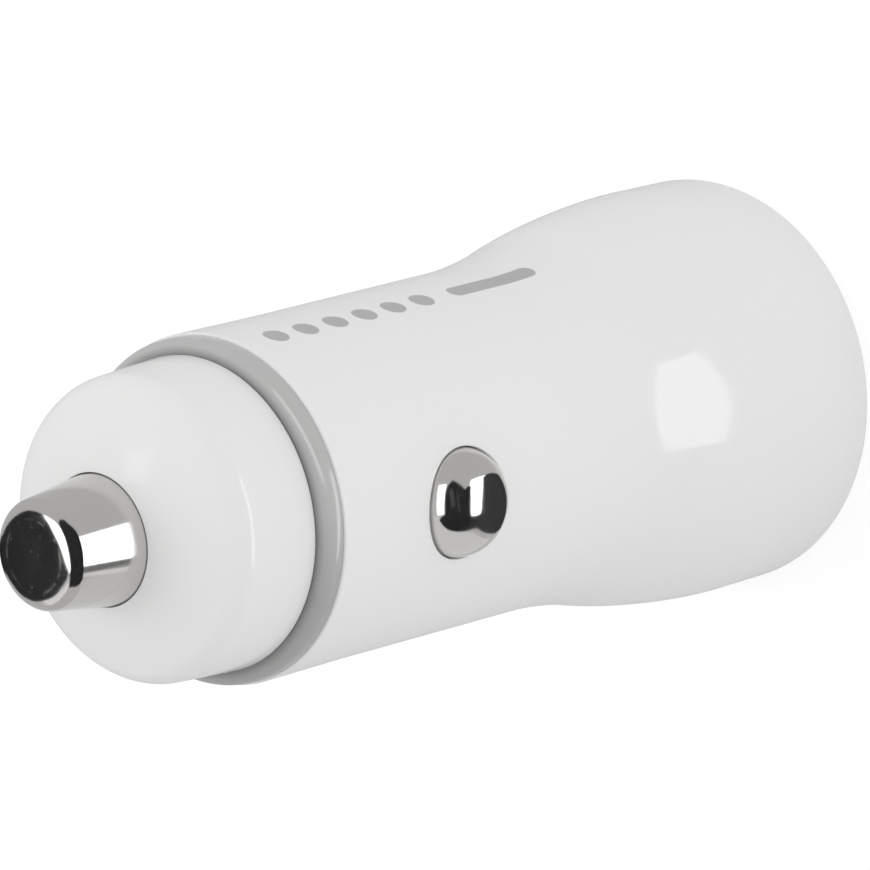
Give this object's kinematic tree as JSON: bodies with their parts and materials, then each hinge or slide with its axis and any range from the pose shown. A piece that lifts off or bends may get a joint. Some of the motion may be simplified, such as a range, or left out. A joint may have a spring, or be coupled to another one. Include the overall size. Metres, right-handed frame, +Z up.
{
  "type": "car usb charger plug",
  "caption": "Round plug for a vehicle accessory socket, with sprung centre and side contacts, a grey trim ring and a flared head that holds usb ports.",
  "frame": {"origin": "on the plug's axis, in the plane of the head's rim, which it stands on", "axes": "+Z up the axis from the head to the centre contact, +X out through a side contact"},
  "size_m": [0.0256, 0.0256, 0.0598],
  "materials": {
    "white_gloss": "gloss",
    "grey_trim": "satin",
    "contact_chrome": "polished",
    "spring_steel": "satin",
    "terminal_brass": "satin",
    "board": "satin",
    "face_white": "fine satin",
    "socket_steel": "bright",
    "socket_plastic": "satin",
    "socket_gold": "bright",
    "ferrite": "matte",
    "winding": "gloss",
    "can": "bright",
    "block": "satin",
    "chip": "matte",
    "ceramic": "matte"
  },
  "bodies": {
    "plug": {"housing": "white_gloss", "nose_cap": "white_gloss", "trim_ring": "grey_trim", "tip_spring": "spring_steel", "side_spring_right": "spring_steel", "side_spring_left": "spring_steel", "positive_terminal": "terminal_brass", "main_board": "board", "face_plate": "face_white", "usb_shell_right": "socket_steel", "usb_shell_left": "socket_steel", "usb_insulator_right": "socket_plastic", "usb_insulator_left": "socket_plastic", "usb_contacts_right": "socket_gold", "usb_contacts_left": "socket_gold", "inductor_core": "ferrite", "inductor_winding": "winding", "input_capacitor": "can", "output_capacitor": "block", "regulator_chip": "chip", "rectifier_diode": "chip", "chip_resistors": "chip", "chip_capacitors": "ceramic"},
    "centre_contact": {"tip_contact": "contact_chrome"},
    "right_contact": {"side_contact_right": "contact_chrome"},
    "left_contact": {"side_contact_left": "contact_chrome"}
  },
  "joints": [
    {"name": "centre_press", "type": "slide", "parent": "plug", "child": "centre_contact", "axis": [0, 0, -1], "range_m": [0, 0.0035], "stiffness_N_per_m": 800, "springref_m": -0.003, "deforming": ["tip_spring"]},
    {"name": "right_press", "type": "slide", "parent": "plug", "child": "right_contact", "axis": [-1, 0, 0], "range_m": [0, 0.0015], "stiffness_N_per_m": 2000, "springref_m": -0.0005, "deforming": ["side_spring_right"]},
    {"name": "left_press", "type": "slide", "parent": "plug", "child": "left_contact", "axis": [1, 0, 0], "range_m": [0, 0.0015], "stiffness_N_per_m": 2000, "springref_m": -0.0005, "deforming": ["side_spring_left"]}
  ]
}
